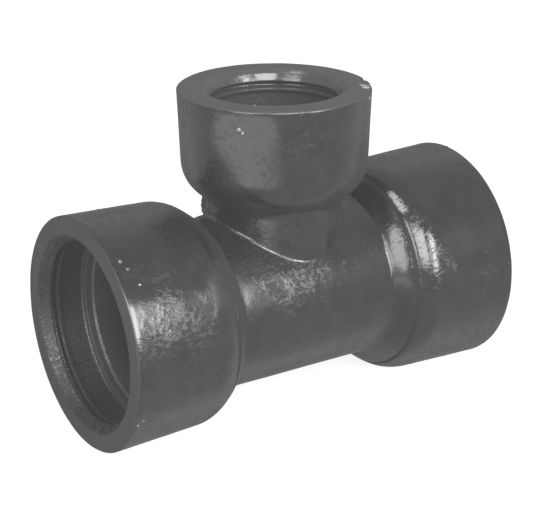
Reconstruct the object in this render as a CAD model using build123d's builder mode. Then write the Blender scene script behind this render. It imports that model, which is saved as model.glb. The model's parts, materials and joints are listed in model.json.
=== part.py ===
"""All-socket tee, cast in ductile iron in one piece: a DN 150 run with a DN 100 branch.

Row frame: +X along the run, +Z up the branch, origin below the crossing of the two axes and level with
the underside of the run's bells. The outlines are drawn round the crossing of the axes. Sizes are in mm.
"""
import os
from math import hypot, radians, tan

from build123d import *

# Pipes that push into the sockets
RUN_PIPE_OD = 170.0
BRANCH_PIPE_OD = 118.0
PIPE_CLEARANCE = 3.5            # radial, between a pipe and the guiding walls of its socket

# Waterways, by how far the stops at the sockets' ends reach in past a pipe's outside
RUN_STOP_LEDGE = 10.0
BRANCH_STOP_LEDGE = 9.0

# Metal round the waterways, and outside the heel groove at the mouths
BARREL_WALL = 10.0
NECK_WALL = 17.5
RUN_BELL_WALL = 16.5
BRANCH_BELL_WALL = 22.5

# Along the run, outwards from the neck: bare barrel, rolled-up flank, crease, dome, drafted bell
SHOULDER_GAP = 19.5
FLANK_LENGTH = 16.0
FLANK_RISE = 17.0
RUN_DOME_LENGTH = 26.0
RUN_BELL_LENGTH = 88.0

# Up the branch, from the barrel's crown: neck, dome, drafted bell
NECK_HEIGHT = 18.0
BRANCH_DOME_LENGTH = 36.6
BRANCH_BELL_LENGTH = 70.4

# Edges and joins
DRAFT_ANGLE = 2.0               # taper of the bells' outside, wider at the mouth
RIM_BEVEL = 3.0
SADDLE_ROUND = 7.0

# Inside of a push-on socket, in order from its mouth
LIP_LENGTH = 12.0
HEEL_GROOVE_WIDTH = 7.0
BUTTRESS_WIDTH = 3.5
GASKET_CHAMBER_WIDTH = 27.5
RUN_SOCKET_DEPTH = 100.0        # mouth to the stop
BRANCH_SOCKET_DEPTH = 92.0

# Inside of a push-on socket: how far each step stands back from the guiding wall
LIP_FLARE = 7.0
HEEL_GROOVE_CUT = 10.0
BUTTRESS_CUT = 2.6
GASKET_CHAMBER_CUT = 8.0

DRAFT = tan(radians(DRAFT_ANGLE))
ALONG_BRANCH = Plane(origin=(0, 0, 0), x_dir=(0, 0, 1), z_dir=(0, 1, 0))


def dome_and_bell(start, crest, reach, mouth_radius):
    """Outline of a bell: a dome from start that lies level at crest, the drafted side and the mouth face."""
    run, rise = crest[0] - start[0], crest[1] - start[1]
    radius = (run ** 2 + rise ** 2) / (2 * rise)
    half_run = run / 2
    middle = (crest[0] - half_run, crest[1] - radius + (radius ** 2 - half_run ** 2) ** 0.5)
    ThreePointArc(start, middle, crest)
    Polyline(crest, (reach, mouth_radius), (reach, 0), (0, 0))


def bevel_rim(outline, reach, mouth_radius):
    """Break the outer edge of a mouth, in the outline before it is turned."""
    rim = outline.vertices().sort_by_distance((reach, mouth_radius, 0))[0]
    chamfer(rim, RIM_BEVEL)


def socket_cavity(reach, wall_radius, depth):
    """Outline of a socket's inside from its mouth back to the stop, as points of distance and radius."""
    groove_front = reach - LIP_LENGTH
    groove_back = groove_front - HEEL_GROOVE_WIDTH
    chamber_front = groove_back - BUTTRESS_WIDTH
    chamber_back = chamber_front - GASKET_CHAMBER_WIDTH
    stop = reach - depth
    return [
        (reach, 0),
        (reach, wall_radius + LIP_FLARE),
        (groove_front, wall_radius),
        (groove_front, wall_radius + HEEL_GROOVE_CUT),
        (groove_back, wall_radius + HEEL_GROOVE_CUT),
        (groove_back, wall_radius + BUTTRESS_CUT),
        (chamber_front, wall_radius + BUTTRESS_CUT),
        (chamber_front, wall_radius + GASKET_CHAMBER_CUT),
        (chamber_back, wall_radius + GASKET_CHAMBER_CUT),
        (chamber_back, wall_radius),
        (stop, wall_radius),
        (stop, 0),
    ]


run_wall_radius = RUN_PIPE_OD / 2 + PIPE_CLEARANCE
branch_wall_radius = BRANCH_PIPE_OD / 2 + PIPE_CLEARANCE
run_bore_radius = RUN_PIPE_OD / 2 - RUN_STOP_LEDGE
branch_bore_radius = BRANCH_PIPE_OD / 2 - BRANCH_STOP_LEDGE
barrel_radius = run_bore_radius + BARREL_WALL
neck_radius = branch_bore_radius + NECK_WALL
run_mouth_radius = run_wall_radius + HEEL_GROOVE_CUT + RUN_BELL_WALL
branch_mouth_radius = branch_wall_radius + HEEL_GROOVE_CUT + BRANCH_BELL_WALL

flank_foot = (neck_radius + SHOULDER_GAP, barrel_radius)
crease = (flank_foot[0] + FLANK_LENGTH, barrel_radius + FLANK_RISE)
run_crest = (crease[0] + RUN_DOME_LENGTH, run_mouth_radius - RUN_BELL_LENGTH * DRAFT)
run_reach = run_crest[0] + RUN_BELL_LENGTH

neck_top = (barrel_radius + NECK_HEIGHT, neck_radius)
branch_crest = (neck_top[0] + BRANCH_DOME_LENGTH, branch_mouth_radius - BRANCH_BELL_LENGTH * DRAFT)
branch_reach = branch_crest[0] + BRANCH_BELL_LENGTH


with BuildPart() as tee_casting:
    # Outside of the run, turned about X from the outline of its right half
    with BuildSketch(Plane.XZ) as run_outline:
        with BuildLine():
            Polyline((0, 0), (0, barrel_radius), flank_foot, crease)
            dome_and_bell(crease, run_crest, run_reach, run_mouth_radius)
        make_face()
        bevel_rim(run_outline, run_reach, run_mouth_radius)
        mirror(about=Plane.YZ)
    revolve(axis=Axis.X)

    # Outside of the branch, turned about Z
    with BuildSketch(ALONG_BRANCH) as branch_outline:
        with BuildLine():
            Polyline((0, 0), (0, neck_radius), neck_top)
            dome_and_bell(neck_top, branch_crest, branch_reach, branch_mouth_radius)
        make_face()
        bevel_rim(branch_outline, branch_reach, branch_mouth_radius)
    revolve(axis=Axis.Z)

    # Saddle where the neck grows out of the barrel
    saddle = tee_casting.edges().filter_by(
        lambda edge: all(
            abs(hypot(point.X, point.Y) - neck_radius) < 0.01 and abs(hypot(point.Y, point.Z) - barrel_radius) < 0.01
            for point in (edge @ 0, edge @ 0.3, edge @ 0.7)
        )
    )
    fillet(saddle, SADDLE_ROUND)

    # Waterways
    Cylinder(run_bore_radius, 2 * run_reach, rotation=(0, 90, 0), mode=Mode.SUBTRACT)
    Cylinder(branch_bore_radius, branch_reach, align=(Align.CENTER, Align.CENTER, Align.MIN), mode=Mode.SUBTRACT)

    # Push-on sockets, opened from the three mouths
    with BuildSketch(Plane.XZ):
        with BuildLine():
            Polyline(*socket_cavity(run_reach, run_wall_radius, RUN_SOCKET_DEPTH), close=True)
        make_face()
        mirror(about=Plane.YZ)
    revolve(axis=Axis.X, mode=Mode.SUBTRACT)
    with BuildSketch(ALONG_BRANCH):
        with BuildLine():
            Polyline(*socket_cavity(branch_reach, branch_wall_radius, BRANCH_SOCKET_DEPTH), close=True)
        make_face()
    revolve(axis=Axis.Z, mode=Mode.SUBTRACT)

casting = Pos(0, 0, run_mouth_radius) * tee_casting.part
casting.label = "tee_casting"

os.makedirs("parts", exist_ok=True)
export_step(casting, "parts/tee_casting.step")
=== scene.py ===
"""Ductile iron socket tee: the coated sand-cast skin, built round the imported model.

Row frame in metres: +X along the run, +Z up the branch. The casting is one closed skin. Its run is turned
about the run's axis, and its branch grows out of a window in the run's crown. Drops and runs of coat are
small closed bodies sunk into it. Outlines are drawn in millimetres round the crossing of the two axes, as
points of (along, radius).
"""
import json
import random
from math import atan2, ceil, cos, pi, radians, sin, tan

import bpy
from mathutils import Matrix, Vector, noise
from mathutils.bvhtree import BVHTree


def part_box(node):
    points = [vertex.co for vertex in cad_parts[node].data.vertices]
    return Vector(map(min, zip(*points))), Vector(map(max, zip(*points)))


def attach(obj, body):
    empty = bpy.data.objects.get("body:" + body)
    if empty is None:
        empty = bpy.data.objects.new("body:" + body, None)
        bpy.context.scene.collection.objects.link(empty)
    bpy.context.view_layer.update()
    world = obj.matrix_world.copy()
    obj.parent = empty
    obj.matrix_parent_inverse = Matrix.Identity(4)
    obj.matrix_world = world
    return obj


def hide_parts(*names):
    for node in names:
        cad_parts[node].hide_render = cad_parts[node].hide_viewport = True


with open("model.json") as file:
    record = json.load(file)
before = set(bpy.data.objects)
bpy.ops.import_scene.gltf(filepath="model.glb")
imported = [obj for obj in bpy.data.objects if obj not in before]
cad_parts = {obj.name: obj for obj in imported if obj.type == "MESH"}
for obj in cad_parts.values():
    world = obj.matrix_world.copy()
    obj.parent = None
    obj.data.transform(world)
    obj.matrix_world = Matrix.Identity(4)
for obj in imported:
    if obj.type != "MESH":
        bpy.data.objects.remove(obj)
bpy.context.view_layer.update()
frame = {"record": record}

MM = 0.001

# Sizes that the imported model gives, in mm round the crossing of the axes
mounts = {mount["name"]: mount for mount in frame["record"]["mounts"]}
AXIS_HEIGHT = mounts["run_socket_right"]["pos_m"][2] / MM
RUN_REACH = mounts["mouth_face_right"]["pos_m"][0] / MM
BRANCH_REACH = mounts["mouth_face_branch"]["pos_m"][2] / MM - AXIS_HEIGHT
RUN_WALL = mounts["run_socket_right"]["dims"]["r_mm"]
BRANCH_WALL = mounts["branch_socket"]["dims"]["r_mm"]
lowest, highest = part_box("tee_casting")
RUN_MOUTH = (highest.y - lowest.y) / 2 / MM

# Outside of the casting, as in the part's own outline
BARREL = 85.0
NECK = 67.5
BRANCH_MOUTH = 94.9
BELL_LENGTH = 88.0
BRANCH_BELL_LENGTH = 70.4
DOME_LENGTH = 26.0
BRANCH_DOME_LENGTH = 36.6
FLANK_LENGTH = 16.0
FLANK_BULGE = 1.1
DRAFT = tan(radians(2.0))

# Crease between the rolled flank and the dome, with a nearly level floor and a steep foot of the dome
CREASE = RUN_REACH - BELL_LENGTH - DOME_LENGTH
CREASE_RADIUS = 102.0
CREASE_LEDGE = 2.4
DOME_FOOT_LENGTH = 1.2
DOME_FOOT_HEIGHT = 2.9

# Waterways, and the sockets' steps
RUN_BORE = 75.0
BRANCH_BORE = 50.0
RUN_SOCKET_DEPTH = 100.0
BRANCH_SOCKET_DEPTH = 92.0
SOCKET_STEPS = [
    # behind the mouth, cut outside the guiding wall, round of the corner
    (0.0, 7.0, 1.6),
    (3.8, 3.6, 4.0),
    (10.0, 0.4, 1.2),
    (12.0, 0.0, 0.8),
    (13.0, 10.0, 1.2),
    (18.0, 10.0, 1.2),
    (19.0, 2.6, 1.0),
    (22.5, 2.6, 1.0),
    (23.5, 8.0, 1.5),
    (49.0, 8.0, 2.0),
    (50.0, 2.2, 0.9),
    (57.0, 2.2, 0.9),
    (58.5, 0.0, 0.9),
]

# Rounds that the mould leaves
RIM_ROUND = 2.4
FLANK_FOOT_ROUND = 2.0
CREASE_ROUND = 0.7
NECK_ROUND = 9.0
SADDLE_ROUND = 3.8
CROTCH_ROUND = 5.0
STOP_CORNER_ROUND = 2.0
STOP_EDGE_ROUND = 3.0

# Waves that the sand leaves in the skin: from crest to crest, and how deep
SAND_WAVES = [(70.0, 0.4), (27.0, 0.3), (12.0, 0.2)]

# Lumps, and knocks (below zero): place round the crossing of the axes, how far they reach, how high
LUMPS = [
    (Vector((-79.0, 5.0, 86.0)), 12.0, 4.6),
    (Vector((-71.0, -1.5, 85.5)), 4.5, 1.6),
    (Vector((-60.0, 33.0, 92.0)), 27.0, 4.8),
    (Vector((89.0, -24.0, 209.0)), 7.0, -2.0),
    (Vector((80.0, -42.0, 210.0)), 6.0, -1.4),
    (Vector((72.0, -60.0, 209.0)), 5.0, -1.2),
    (Vector((-78.0, -52.0, 189.5)), 5.0, 0.8),
]

# Drops of coat: place, and how far round it the coat is painted pale as a painted glint
DROPS = [
    (Vector((-212.6, -101.6, -52.7)), 2.6),
    (Vector((-208.6, -104.0, -47.8)), 2.2),
    (Vector((-206.4, -65.6, 93.2)), 3.4),
    (Vector((-202.8, -73.3, 87.3)), 3.0),
    (Vector((-197.6, -85.2, 75.7)), 3.0),
    (Vector((-53.1, -48.3, 210.0)), 2.4),
    (Vector((-75.2, -55.5, 189.5)), 0.0),
    (Vector((100.2, -110.1, 25.2)), 0.0),
    (Vector((153.0, -108.0, 31.0)), 0.0),
    (Vector((184.8, -107.7, 34.1)), 0.0),
    (Vector((211.7, -111.6, 17.7)), 0.0),
]
DROP_RADIUS = 1.5
DROP_SIDES = 8
DROP_RINGS = [(1.0, -0.3), (0.8, 0.35), (0.45, 0.6)]    # from the foot up: reach and height, by the radius

# Grains of grit under the coat: how many lie all over the run and how many more on the left bell's rim
GRAINS = 80
RIM_GRAINS = 26
RIM_GRAINS_ALONG = (-212.0, -175.0)
RIM_GRAINS_TURN = (-75.0, -40.0)        # degrees from the crown
GRAIN_RADIUS = (0.4, 1.1)
GRIT_SEED = 11

# Runs and dabs of thick coat: width, height and three points of the line that each follows over the skin
COAT_RUNS = [
    (2.4, 1.0, [(-214.0, -108.6, 35.5), (-200.0, -109.0, 33.0), (-187.0, -108.1, 34.0)]),
    (2.4, 1.0, [(-187.0, -108.1, 34.0), (-183.0, -104.0, 44.0), (-181.7, -100.6, 52.0)]),
    (5.0, 1.2, [(-76.8, -54.6, 194.0), (-74.5, -57.9, 190.9), (-72.2, -60.8, 187.0)]),
]
COAT_RUN_STEPS = 9                      # along each half of the line
COAT_RUN_ARCH = [(-1.0, -0.4), (-0.65, 0.6), (0.0, 1.0), (0.65, 0.6), (1.0, -0.4)]

# Spots where the coat is knocked off the top rim and bare iron shows: place and how far they reach
CHIPS = [
    (Vector((75.5, -43.5, 210.0)), 7.0),
    (Vector((71.5, -52.0, 210.0)), 6.0),
    (Vector((80.5, -47.5, 208.0)), 5.0),
    (Vector((62.7, -71.1, 205.4)), 4.5),
]

# Painted highlights, spots where the coat is painted pale: a streak on the right flank, two on the branch
# bell, one on a lump
PAINTED_HIGHLIGHTS = [
    (Vector((107.3, -47.6, 94.1)), 7.5),
    (Vector((107.6, -53.5, 91.3)), 8.5),
    (Vector((108.0, -59.5, 87.5)), 9.5),
    (Vector((109.3, -66.5, 83.0)), 8.5),
    (Vector((-75.5, -56.4, 191.8)), 3.6),
    (Vector((-73.2, -59.4, 188.6)), 3.0),
    (Vector((-70.5, -2.0, 87.5)), 3.5),
]

# Stretches where the coat is thick, glossy, dull or gritty: middle and how far they reach
THICK_ON_LEFT_BELL = (Vector((-206.0, -101.0, 52.0)), 45.0)
THICK_ON_LEFT_DOME = (Vector((-136.0, -95.0, 56.0)), 40.0)
THICK_ON_RIGHT_BELL = (Vector((182.0, -85.0, 60.0)), 62.0)
THICK_ON_BARREL = (Vector((55.0, -75.0, 25.0)), 78.0)
GLOSSY_ON_RIGHT_DOME = (Vector((114.0, -82.0, 62.0)), 34.0)
GLOSSY_ON_BRANCH_BELL = (Vector((-42.0, -80.0, 165.0)), 60.0)
DULL_ON_LEFT_FLANK = (Vector((-103.0, -85.0, 55.0)), 42.0)
GRITTY_LIP = (Vector((-212.0, 70.0, -50.0)), 85.0)
# Insides of the sockets, painted paler as a painted fill light that lifts their shade: middle and how far they
# reach
PAINTED_FILL_IN_RUN = (Vector((-170.0, 0.0, 0.0)), 108.0)
PAINTED_FILL_IN_BRANCH = (Vector((0.0, 0.0, 180.0)), 90.0)
FACE_DEPTH = 2.0                        # how far behind a mouth its flat face's finish goes
LIP_DEPTH = 6.0                         # middle of the run's dull lips, behind the mouths
LIP_REACH = 96.5
CREASE_DULL = (-1.4, 2.6)               # dull band of a crease, from where the flank ends

# Coat: its gloss, how high its grain stands in mm, and an even painted glow, light that no lamp gives, which
# keeps its darkest places grey
COAT_IOR = 1.32
COAT_RELIEF = 0.4
PAINTED_GLOW = 0.040

# Mesh: columns round the run, the crown window that the branch grows from, and the longest step in mm
RUN_COLUMNS = 180
WINDOW_HALF = 80.5
WINDOW_COLUMNS = 31                     # to each side of the crown
WINDOW_ROWS = 44
STEP = 4.8
ARC_STEP = 0.45                         # longest turn between two points of a rounded corner, in radians
NEARLY_STRAIGHT = 1.55                  # half a corner's angle, in radians, from which it needs no round
FLANK_STEPS = 6
DOME_STEPS = 8
BRANCH_DOME_STEPS = 12
APRON_STEPS = 7
SADDLE_STEPS = 6
CROTCH_STEPS = 4
NECK_FOOT_STEPS = 7
BORE_END_STEPS = 6
PAST_ROUND = 4.0                        # turned rows of the branch start this far past the run's rounds

# Camera, in metres: where it stands, what it looks at, and its lens in mm
CAMERA = Vector((-0.8023, -1.2363, 0.7105))
TARGET = Vector((0.0067, 0.0, 0.1439))
LENS = 101.05

# Light: windows far off, in metres and degrees. Azimuth 0 lies towards -Y and turns towards +X
WINDOWS = [
    # name, azimuth, elevation, distance, width, height, brightness, lean
    ("right_window", 19.6, 21.0, 6.0, 1.45, 3.6, 42.0, -12.0),
    ("front_window", -15.0, 31.0, 6.0, 3.2, 4.1, 28.0, 0.0),
    ("left_window", -66.0, 21.0, 6.0, 3.0, 4.1, 18.0, 0.0),
    ("roof_window", -84.0, 62.5, 5.0, 2.0, 0.8, 16.0, 0.0),
]
CARD_HEIGHT = 0.004
AIR_LIGHT = 0.3

# Floor, in metres: its size, its white and how far it shows as plain paper
FLOOR_SIZE = 14.0
FLOOR_WHITE = 0.8
PAPER_SHARE = 0.86


def arc_points(start, end, centre, count):
    """Points from start to end round centre, both ends left out."""
    first, last = Vector(start) - centre, Vector(end) - centre
    turn = atan2(first.x * last.y - first.y * last.x, first.dot(last))
    return [centre + Matrix.Rotation(turn * k / count, 2) @ first for k in range(1, count)]


def dome(start, crest, count):
    """A bell's dome: corners on the arc that leaves start and lies level at crest."""
    run, rise = crest[0] - start[0], crest[1] - start[1]
    radius = (run ** 2 + rise ** 2) / (2 * rise)
    return [(*point, 0.0) for point in arc_points(start, crest, Vector((crest[0], crest[1] - radius)), count)]


def rolled_flank(foot, end, bulge, count):
    """The flank's bulged corners between its foot on the barrel and its end at the crease."""
    chord = Vector(end) - Vector(foot)
    half = chord.length / 2
    radius = (half ** 2 + bulge ** 2) / (2 * bulge)
    middle = (Vector(foot) + Vector(end)) / 2
    out = Vector((-chord.y, chord.x)).normalized()
    return [(*point, 0.0) for point in arc_points(foot, end, middle - out * (radius - bulge), count)]


def outline(corners):
    """Points along an open line of corners (along, radius, round), with rounds as arcs and no long step."""
    rounded = [Vector(corners[0][:2])]
    for before, corner, after in zip(corners, corners[1:], corners[2:]):
        here, size = Vector(corner[:2]), corner[2]
        back, on = (Vector(before[:2]) - here).normalized(), (Vector(after[:2]) - here).normalized()
        half = back.angle(on) / 2
        if size == 0 or half > NEARLY_STRAIGHT:
            rounded.append(here)
            continue
        start, end = here + back * size / tan(half), here + on * size / tan(half)
        centre = here + (back + on).normalized() * size / sin(half)
        count = max(2, ceil((pi - 2 * half) / ARC_STEP))
        rounded += [start, *arc_points(start, end, centre, count), end]
    rounded.append(Vector(corners[-1][:2]))
    points = [rounded[0]]
    for start, end in zip(rounded, rounded[1:]):
        count = max(1, ceil((end - start).length / STEP))
        points += [start.lerp(end, k / count) for k in range(1, count + 1)]
    return points


def socket_corners(reach, wall, depth, bore):
    """Inside of a push-on socket, from its mouth to the waterway behind its stop."""
    steps = [(reach - behind, wall + cut, size) for behind, cut, size in SOCKET_STEPS]
    return [*steps, (reach - depth, wall, STOP_CORNER_ROUND), (reach - depth, bore, STOP_EDGE_ROUND)]


def run_outline():
    """Right half of the run, from the crown window outwards, round the mouth and back along the inside."""
    crest = (RUN_REACH - BELL_LENGTH, RUN_MOUTH - BELL_LENGTH * DRAFT)
    foot = (CREASE - FLANK_LENGTH, BARREL)
    flank_end = (CREASE - CREASE_ROUND, CREASE_RADIUS - CREASE_ROUND / 2)
    floor_end = (flank_end[0] + CREASE_LEDGE, flank_end[1] - CREASE_ROUND / 2)
    dome_start = (floor_end[0] + DOME_FOOT_LENGTH, floor_end[1] + DOME_FOOT_HEIGHT)
    outside = [
        (WINDOW_HALF, BARREL, 0.0),
        (*foot, FLANK_FOOT_ROUND),
        *rolled_flank(foot, flank_end, FLANK_BULGE, FLANK_STEPS),
        (*flank_end, CREASE_ROUND),
        (*floor_end, CREASE_ROUND / 2),
        (*dome_start, 0.0),
        *dome(dome_start, crest, DOME_STEPS),
        (*crest, 0.0),
        (RUN_REACH, RUN_MOUTH, RIM_ROUND),
    ]
    inside = socket_corners(RUN_REACH, RUN_WALL, RUN_SOCKET_DEPTH, RUN_BORE)
    return outline([*outside, *inside, (WINDOW_HALF, RUN_BORE, 0.0)])


def branch_outline(neck_start, bore_end):
    """The branch from the neck's foot up, round the mouth and back down the bore."""
    crest = (BRANCH_REACH - BRANCH_BELL_LENGTH, BRANCH_MOUTH - BRANCH_BELL_LENGTH * DRAFT)
    neck_top = (crest[0] - BRANCH_DOME_LENGTH, NECK)
    past_neck_round = 2                 # the dome's first corners give way to the neck's round
    outside = [
        (neck_start, NECK, 0.0),
        (*neck_top, NECK_ROUND),
        *dome(neck_top, crest, BRANCH_DOME_STEPS)[past_neck_round:],
        (*crest, 0.0),
        (BRANCH_REACH, BRANCH_MOUTH, RIM_ROUND),
    ]
    inside = socket_corners(BRANCH_REACH, BRANCH_WALL, BRANCH_SOCKET_DEPTH, BRANCH_BORE)
    return outline([*outside, *inside, (bore_end, BRANCH_BORE, 0.0)])


def turned(along, radius, angle):
    """A point of the run: angle 0 is the crown."""
    return Vector((along, radius * sin(angle), radius * cos(angle)))


class Skin:
    """Points and faces of the casting, in mm round the crossing of the axes."""

    def __init__(self):
        self.points = []
        self.faces = []

    def add(self, point):
        self.points.append(Vector(point))
        return len(self.points) - 1

    def bridge(self, row, next_row):
        """Faces between two closed rows of equal length. A missing point leaves a window."""
        for k in range(len(row)):
            onward = (k + 1) % len(row)
            corners = (row[k], next_row[k], next_row[onward], row[onward])
            if None not in corners:
                self.faces.append(corners)


def run_rings(skin):
    """The run as a loop of rings, out along the outside and back along the inside, with two crown windows.

    Column 0 of a ring is the crown. Columns to its other side are counted from the ring's end, as
    negative numbers.
    """
    right = run_outline()[1:-1]
    crossing = [WINDOW_HALF * (2 * k / WINDOW_ROWS - 1) for k in range(WINDOW_ROWS + 1)]
    left = [Vector((-point.x, point.y)) for point in reversed(right)]
    outside = [Vector((along, BARREL)) for along in crossing]
    inside = [Vector((-along, RUN_BORE)) for along in crossing]
    columns = [(k + RUN_COLUMNS // 2) % RUN_COLUMNS - RUN_COLUMNS // 2 for k in range(RUN_COLUMNS)]

    def ring(place, windowed):
        return [
            None if windowed and abs(column) < WINDOW_COLUMNS
            else skin.add(turned(place.x, place.y, 2 * pi * column / RUN_COLUMNS))
            for column in columns
        ]

    def crossing_rings(places):
        return [ring(place, 0 < k < WINDOW_ROWS) for k, place in enumerate(places)]

    outer = crossing_rings(outside)
    right_rings = [ring(place, False) for place in right]
    inner = crossing_rings(inside)
    left_rings = [ring(place, False) for place in left]
    loop = [*outer, *right_rings, *inner, *left_rings]
    for row, next_row in zip(loop, [*loop[1:], loop[0]]):
        skin.bridge(row, next_row)
    return outer, inner[::-1]


def window_edge(rings):
    """Points round a crown window, starting at its right near corner and turning towards +Y."""
    near, far = -WINDOW_COLUMNS, WINDOW_COLUMNS
    edge = [rings[WINDOW_ROWS][column] for column in range(near, far)]
    edge += [rings[row][far] for row in range(WINDOW_ROWS, 0, -1)]
    edge += [rings[0][column] for column in range(far, near, -1)]
    edge += [rings[row][near] for row in range(0, WINDOW_ROWS)]
    return edge


def rolling_round(tube, run, size, angles, count):
    """Rows over the round where an upright tube meets the run, from the run to the tube, both ends kept.

    At each angle round the tube a ball of the round's size lies in the corner, and the round follows it
    from where it touches the run to where it touches the tube.
    """
    columns = []
    for angle in angles:
        reach = tube + size
        x, y = reach * cos(angle), reach * sin(angle)
        z = ((run + size) ** 2 - y ** 2) ** 0.5
        centre = Vector((x, y, z))
        start = Vector((x, y * run / (run + size), z * run / (run + size))) - centre
        end = Vector((x * tube / reach, y * tube / reach, z)) - centre
        columns.append([
            centre + start.slerp(end, k / count).normalized() * start.length for k in range(count + 1)
        ])
    return [list(row) for row in zip(*columns)]


def apron_rows(skin, edge, feet, radius):
    """Rows on the run between a window's edge and the round's foot, both ends left out."""
    def flat(point):
        return Vector((point.x, radius * atan2(point.y, point.z)))
    rows = []
    for k in range(1, APRON_STEPS):
        row = []
        for index, foot in zip(edge, feet):
            place = flat(skin.points[index]).lerp(flat(foot), k / APRON_STEPS)
            row.append(turned(place.x, radius, place.y / radius))
        rows.append(row)
    return rows


def grow_branch(skin, outer, inner):
    """Apron, saddle, neck, bell and mouth of the branch, then its inside down to the run's waterway."""
    outer_edge, inner_edge = window_edge(outer), window_edge(inner)
    columns = len(outer_edge)
    angles = [2 * pi * (k - WINDOW_COLUMNS) / columns for k in range(columns)]
    saddle = rolling_round(NECK, BARREL, SADDLE_ROUND, angles, SADDLE_STEPS)
    crotch = rolling_round(BRANCH_BORE, RUN_BORE, CROTCH_ROUND, angles, CROTCH_STEPS)[::-1]
    bell = branch_outline(BARREL + SADDLE_ROUND + PAST_ROUND, RUN_BORE + CROTCH_ROUND + PAST_ROUND)

    def lathe(place):
        return [Vector((place.y * cos(angle), place.y * sin(angle), place.x)) for angle in angles]

    def between(row, next_row, count):
        return [[a.lerp(b, k / count) for a, b in zip(row, next_row)] for k in range(1, count)]

    rows = apron_rows(skin, outer_edge, saddle[0], BARREL)
    rows += saddle
    rows += between(saddle[-1], lathe(bell[0]), NECK_FOOT_STEPS)
    rows += [lathe(place) for place in bell]
    rows += between(lathe(bell[-1]), crotch[0], BORE_END_STEPS)
    rows += crotch
    rows += apron_rows(skin, inner_edge, crotch[-1], RUN_BORE)[::-1]

    built = [outer_edge, *[[skin.add(point) for point in row] for row in rows], inner_edge]
    for row, next_row in zip(built, built[1:]):
        skin.bridge(next_row, row)      # these rows turn the other way round, seen from outside


def sand_depth(point):
    """How deep the sand's waves leave the skin at a point, in mm. It is never above the drawn skin."""
    depth = 0.0
    for apart, deep in SAND_WAVES:
        wave = noise.noise(point / apart + Vector((apart, 0.0, 0.0)))
        depth += deep * (0.5 + 0.5 * wave)
    return depth


def lump_height(point):
    """How far lumps and knocks move the skin at a point, in mm."""
    height = 0.0
    for place, reach, size in LUMPS:
        away = (point - place).length / reach
        if away < 1:
            height += size * (1 - away * away) ** 2 * (1 + 0.5 * noise.noise(point * 0.4))
    return height


def settle(skin):
    """Moves the drawn skin by the sand's waves and the lumps, along its own directions."""
    drawn = bpy.data.meshes.new("drawn_skin")
    drawn.from_pydata(skin.points, [], skin.faces)
    for vertex in drawn.vertices:
        skin.points[vertex.index] += vertex.normal * (lump_height(vertex.co) - sand_depth(vertex.co))
    bpy.data.meshes.remove(drawn)


def drop(skin, centre, normal, radius):
    """A low dome on the skin, with its foot a little below it."""
    side = normal.orthogonal().normalized()
    turns = [Matrix.Rotation(2 * pi * k / DROP_SIDES, 3, normal) for k in range(DROP_SIDES)]
    foot, waist, top = [
        [skin.add(centre + turn @ side * (radius * reach) + normal * (radius * height)) for turn in turns]
        for reach, height in DROP_RINGS
    ]
    skin.bridge(waist, foot)
    skin.bridge(top, waist)
    skin.faces += [tuple(top), tuple(reversed(foot))]


def coat_run(skin, tree, width, height, line):
    """A low bead that follows a line over the skin, swells unevenly and fades out at both ends."""
    line = [Vector(point) for point in line]
    rows = []
    for k in range(2 * COAT_RUN_STEPS + 1):
        half = min(k // COAT_RUN_STEPS, 1)
        place, normal, _, _ = tree.find_nearest(line[half].lerp(line[half + 1], k / COAT_RUN_STEPS - half))
        fade = min(1.0, 0.15 + 2 * sin(pi * k / (2 * COAT_RUN_STEPS)))
        swell = fade * (0.8 + 0.5 * noise.noise(place * 0.3))
        across = (line[2] - line[0]).cross(normal).normalized() * (width * swell / 2)
        up = normal * (height * swell)
        rows.append([skin.add(place + across * share + up * rise) for share, rise in COAT_RUN_ARCH])
    for row, next_row in zip(rows, rows[1:]):
        skin.bridge(row, next_row)
    skin.faces += [tuple(reversed(rows[0])), tuple(rows[-1])]


def add_grit(skin):
    """Drops at listed places, grains strewn over the run, and the coat's runs."""
    tree = BVHTree.FromPolygons(skin.points, skin.faces)
    strewn = random.Random(GRIT_SEED)
    outside_all = RUN_MOUTH + 5

    def grain(along, turn):
        spot, normal, _, _ = tree.find_nearest(turned(along, outside_all, turn))
        drop(skin, spot, normal, strewn.uniform(*GRAIN_RADIUS))

    for place, _ in DROPS:
        spot, normal, _, _ = tree.find_nearest(place)
        drop(skin, spot, normal, DROP_RADIUS)
    for _ in range(GRAINS):
        grain(strewn.uniform(-RUN_REACH, RUN_REACH), strewn.uniform(0, 2 * pi))
    for _ in range(RIM_GRAINS):
        grain(strewn.uniform(*RIM_GRAINS_ALONG), radians(strewn.uniform(*RIM_GRAINS_TURN)))
    for width, height, line in COAT_RUNS:
        coat_run(skin, tree, width, height, line)


def hold_in_box(skin):
    """Keeps lumps and drops inside the casting's box, a hair below its top."""
    hair = 0.01
    for point in skin.points:
        point.x = max(-RUN_REACH, min(RUN_REACH, point.x))
        point.y = max(-RUN_MOUTH, min(RUN_MOUTH, point.y))
        point.z = max(-RUN_MOUTH, min(BRANCH_REACH - hair, point.z))


def cast_tee():
    """The whole casting as one mesh object, still in mm round the crossing of the axes."""
    skin = Skin()
    outer, inner = run_rings(skin)
    grow_branch(skin, outer, inner)
    settle(skin)
    add_grit(skin)
    hold_in_box(skin)
    mesh = bpy.data.meshes.new("tee_casting_skin")
    mesh.from_pydata(skin.points, [], skin.faces)
    casting = bpy.data.objects.new("tee_casting_skin", mesh)
    bpy.context.scene.collection.objects.link(casting)
    return casting


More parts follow.
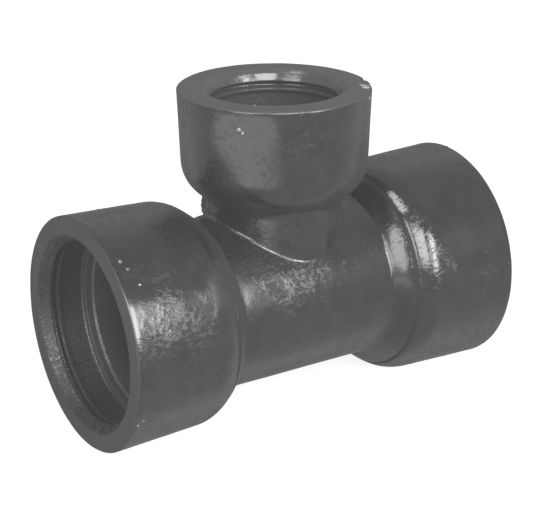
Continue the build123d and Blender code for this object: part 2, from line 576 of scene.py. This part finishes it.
class Value:
    """One number, vector or colour that changes over a surface: an output of a shader's node."""

    def __init__(self, shader, socket):
        self.shader = shader
        self.socket = socket

    def math(self, operation, *inputs):
        return self.shader.node("ShaderNodeMath", {"operation": operation}, dict(enumerate(inputs)))

    def __add__(self, other):
        return self.math("ADD", self, other)

    def __sub__(self, other):
        return self.math("SUBTRACT", self, other)

    def __rsub__(self, other):
        return self.math("SUBTRACT", other, self)

    def __mul__(self, other):
        return self.math("MULTIPLY", self, other)

    __radd__ = __add__
    __rmul__ = __mul__

    def __abs__(self):
        return self.math("ABSOLUTE", self)

    def ramp(self, low, high, start=0.0, end=1.0):
        """Runs smoothly from start to end while this value goes from low to high."""
        settings = {"interpolation_type": "SMOOTHSTEP"}
        inputs = {0: self, 1: low, 2: high, 3: start, 4: end}
        return self.shader.node("ShaderNodeMapRange", settings, inputs)


class Shader:
    """The nodes of a material or of the world."""

    def __init__(self, owner):
        owner.use_nodes = True
        self.tree = owner.node_tree
        self.tree.nodes.clear()

    def node(self, kind, settings=None, inputs=None, output=0):
        """Adds a node: its settings first, then the values or links of its inputs. Gives one output."""
        made = self.tree.nodes.new(kind)
        for name, value in (settings or {}).items():
            setattr(made, name, value)
        for name, value in (inputs or {}).items():
            if isinstance(value, Value):
                self.tree.links.new(value.socket, made.inputs[name])
            else:
                made.inputs[name].default_value = value
        return Value(self, made.outputs[output]) if made.outputs else None

    def mix(self, share, first, second):
        """Colour between first and second."""
        return self.node("ShaderNodeMix", {"data_type": "RGBA"}, {0: share, 6: first, 7: second}, output=2)

    def grain(self, place, scale, detail, roughness):
        """Noise from 0 to 1 over the surface, with about scale lumps to the metre."""
        inputs = {"Vector": place, "Scale": scale, "Detail": detail, "Roughness": roughness}
        return self.node("ShaderNodeTexNoise", {}, inputs)

    def away(self, place, point):
        """Distance in metres from a point that is given in mm round the crossing of the axes."""
        inputs = {0: place, 1: (point + Vector((0.0, 0.0, AXIS_HEIGHT))) * MM}
        return self.node("ShaderNodeVectorMath", {"operation": "DISTANCE"}, inputs, output="Value")

    def near(self, place, point, reach):
        """1 at a point, fading to 0 at its reach."""
        return self.away(place, point).ramp(0.0, reach * MM, 1.0, 0.0)

    def within(self, place, point, reach):
        """1 as far as the reach from a point, and 0 past it."""
        return self.away(place, point).ramp((reach - 1.0) * MM, (reach + 1.0) * MM, 1.0, 0.0)

    def past(self, place, axis, limit):
        """1 where X or Z, to either side of 0, is past a limit in mm."""
        along = self.node("ShaderNodeSeparateXYZ", {}, {0: place}, output=axis)
        return abs(along).ramp(limit * MM, (limit + 0.8) * MM)

    def background_rays(self):
        """1 for the rays that see the background itself: straight, in a gloss or through glass."""
        seen = ("Is Camera Ray", "Is Glossy Ray", "Is Transmission Ray")
        camera, glossy, through = [self.node("ShaderNodeLightPath", output=ray) for ray in seen]
        return camera + glossy + through


def grey(level):
    """A linear grey."""
    return (level, level, level, 1.0)


def thick_coat(shader, place):
    """1 where the coat lies thick and smooth, and 0 where it is thin."""
    thick = 0.5 * shader.near(place, *THICK_ON_LEFT_BELL)
    thick = thick + 0.7 * shader.near(place, *THICK_ON_LEFT_DOME).ramp(0.0, 0.8)
    thick = thick + 1.3 * shader.near(place, *THICK_ON_RIGHT_BELL).ramp(0.0, 0.4)
    thick = thick + 0.8 * shader.near(place, *THICK_ON_BARREL).ramp(0.0, 1.0)
    return (shader.grain(place, 24.0, 3.0, 0.6) + 0.3 * thick).ramp(0.38, 0.66)


def coat_colour(shader, place, blotch, sand, branch_face):
    """Near black, a little paler on the branch's face; paler inside as painted fill light, pale at painted
    highlights and glints, and pale where chipped.
    """
    # Painted highlights and glints: the coat is painted pale at these spots and round the drops
    painted_highlight_spots = PAINTED_HIGHLIGHTS + [(spot, reach) for spot, reach in DROPS if reach > 0]
    painted_highlight = sum(shader.near(place, *spot) for spot in painted_highlight_spots) * sand.ramp(0.15, 0.65)
    chipped = sum(shader.near(place, *spot) for spot in CHIPS) * blotch.ramp(0.36, 0.56)
    # Painted fill light: the sockets' insides are painted paler to lift their shade
    inside = shader.near(place, *PAINTED_FILL_IN_RUN) + shader.near(place, *PAINTED_FILL_IN_BRANCH)
    mottle = shader.grain(place, 45.0, 4.0, 0.65)
    colour = shader.mix(mottle.ramp(0.35, 0.65), grey(0.003), grey(0.0045))
    colour = shader.mix(inside.ramp(0.0, 0.08), colour, grey(0.014))
    colour = shader.mix(branch_face, colour, grey(0.012))
    # Painted highlights and glints make the coat pale here
    colour = shader.mix(painted_highlight.ramp(0.1, 0.9), colour, grey(0.085))
    return shader.mix(chipped.ramp(0.05, 0.7), colour, grey(0.15))


def coated_iron():
    """Black bitumen coat over a sand-cast skin: thick and glossy in places, thin and gritty in others."""
    material = bpy.data.materials.new("coated_iron")
    shader = Shader(material)
    place = shader.node("ShaderNodeTexCoord", output="Object")
    drawn_out = shader.node("ShaderNodeMapping", {}, {"Vector": place, "Scale": (0.6, 1.0, 1.0)})
    coat = thick_coat(shader, place)
    blotch = shader.grain(drawn_out, 180.0, 3.0, 0.55)
    sand = shader.grain(drawn_out, 450.0, 2.0, 0.6)
    speck = shader.grain(drawn_out, 300.0, 2.0, 0.6).ramp(0.48, 0.62)

    gritty_lip = shader.near(place, *GRITTY_LIP).ramp(0.0, 0.5)
    dull_flank = shader.near(place, *DULL_ON_LEFT_FLANK).ramp(0.0, 0.6)
    clear = shader.near(place, *GLOSSY_ON_RIGHT_DOME) + 0.1 * shader.near(place, *GLOSSY_ON_BRANCH_BELL)
    run_faces = shader.past(place, "X", RUN_REACH - FACE_DEPTH)
    branch_face = shader.past(place, "Z", AXIS_HEIGHT + BRANCH_REACH - FACE_DEPTH)
    creases_start, creases_end = [shader.past(place, "X", CREASE + along) for along in CREASE_DULL]
    left_lip, right_lip = [
        shader.within(place, Vector((side * (RUN_REACH - LIP_DEPTH), 0.0, 0.0)), LIP_REACH) for side in (-1, 1)
    ]
    edge = shader.node("ShaderNodeLayerWeight", {}, {"Blend": 0.5}, output="Facing").ramp(0.35, 0.8)

    roughness = 0.17 - 0.08 * clear + 0.22 * speck * (1.0 - coat)
    roughness = roughness + 0.30 * (run_faces + branch_face + dull_flank) + 0.45 * edge
    roughness = roughness + 0.25 * gritty_lip * (1.0 - speck)
    relief = (0.8 - 0.55 * coat) * blotch + (0.35 - 0.25 * coat + 1.6 * gritty_lip) * sand
    bump = shader.node("ShaderNodeBump", {}, {"Strength": 1.0, "Distance": COAT_RELIEF * MM, "Height": relief})
    # Painted glow: both the coat and its dull lips glow evenly white, a painted light that lifts their shade
    painted_glow = {"Emission Color": grey(1.0), "Emission Strength": PAINTED_GLOW}
    iron = shader.node("ShaderNodeBsdfPrincipled", {}, {
        "Base Color": coat_colour(shader, place, blotch, sand, branch_face),
        "Roughness": roughness,
        "Normal": bump,
        "IOR": COAT_IOR,
        **painted_glow,
    })
    dusty = shader.node("ShaderNodeBsdfPrincipled", {}, {
        "Base Color": grey(0.008),
        "Roughness": 1.0,
        "Specular IOR Level": 0.0,
        **painted_glow,
    })
    dull = (left_lip + right_lip) * (0.85 - 0.85 * speck) * (1.0 - 0.4 * gritty_lip)
    dull = dull + 0.85 * (creases_start - creases_end)
    surface = shader.node("ShaderNodeMixShader", {}, {0: dull, 1: iron, 2: dusty})
    shader.node("ShaderNodeOutputMaterial", {}, {"Surface": surface})
    return material


def pale_floor():
    """White paper that shows near white, with the casting's soft shadow kept."""
    material = bpy.data.materials.new("pale_floor")
    shader = Shader(material)
    matt = shader.node("ShaderNodeBsdfDiffuse", {}, {"Color": grey(FLOOR_WHITE)})
    paper = shader.node("ShaderNodeEmission", {}, {"Color": grey(1.0), "Strength": 1.0})
    share = shader.background_rays() * PAPER_SHARE
    shown = shader.node("ShaderNodeMixShader", {}, {0: share, 1: matt, 2: paper})
    shader.node("ShaderNodeOutputMaterial", {}, {"Surface": shown})
    return material


def studio_air():
    """World: even white light on the casting, and plain white wherever the background shows."""
    world = bpy.data.worlds.new("studio_air")
    shader = Shader(world)
    strength = shader.background_rays() * (1.0 - AIR_LIGHT) + AIR_LIGHT
    air = shader.node("ShaderNodeBackground", {}, {"Color": grey(1.0), "Strength": strength})
    shader.node("ShaderNodeOutputWorld", {}, {"Surface": air})
    return world


def aim(thing, place, target):
    """Stands a camera or lamp at place, looking at target."""
    thing.location = place
    thing.rotation_euler = (target - place).to_track_quat("-Z", "Y").to_euler()
    bpy.context.scene.collection.objects.link(thing)


def soft_lamp(name, width, height, brightness):
    """Rectangle of light, by how bright its face looks."""
    light = bpy.data.lights.new(name, "AREA")
    light.shape = "RECTANGLE"
    light.size, light.size_y = width, height
    light.energy = brightness * pi * width * height
    return bpy.data.objects.new(name, light)


def window(name, azimuth, elevation, distance, width, height, brightness, lean):
    """Large lamp that faces the casting, turned by its lean."""
    pane = soft_lamp(name, width, height, brightness)
    turn, rise = radians(azimuth), radians(elevation)
    out = Vector((sin(turn) * cos(rise), -cos(turn) * cos(rise), sin(rise)))
    middle = Vector((0.0, 0.0, AXIS_HEIGHT * MM))
    aim(pane, middle + out * distance, middle)
    pane.rotation_euler.rotate_axis("Z", radians(lean))


def floor_card(name, azimuth, distance, width, depth, brightness):
    """Weak lamp that lies on the floor and faces up, like a card that throws light under the casting."""
    card = soft_lamp(name, width, depth, brightness)
    turn = radians(azimuth)
    card.location = (sin(turn) * distance, -cos(turn) * distance, CARD_HEIGHT)
    card.rotation_euler = (pi, 0.0, turn)
    card.visible_camera = False
    bpy.context.scene.collection.objects.link(card)


def studio():
    """Camera, floor, world and lamps, placed by where the coat mirrors them."""
    camera = bpy.data.objects.new("camera", bpy.data.cameras.new("camera"))
    camera.data.lens = LENS
    aim(camera, CAMERA, TARGET)
    bpy.context.scene.camera = camera

    bpy.ops.mesh.primitive_plane_add(size=FLOOR_SIZE)
    floor = bpy.context.object
    floor.name = "floor"
    floor.data.materials.append(pale_floor())

    bpy.context.scene.world = studio_air()
    for settings in WINDOWS:
        window(*settings)
    floor_card("left_card", azimuth=-67.0, distance=0.95, width=1.05, depth=0.8, brightness=4.4)
    bpy.context.scene.view_settings.view_transform = "Standard"


casting = cast_tee()
casting.data.transform(Matrix.Scale(MM, 4) @ Matrix.Translation((0.0, 0.0, AXIS_HEIGHT)))
casting.data.materials.append(coated_iron())
casting.data.shade_smooth()

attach(casting, "root")
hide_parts("tee_casting")
studio()
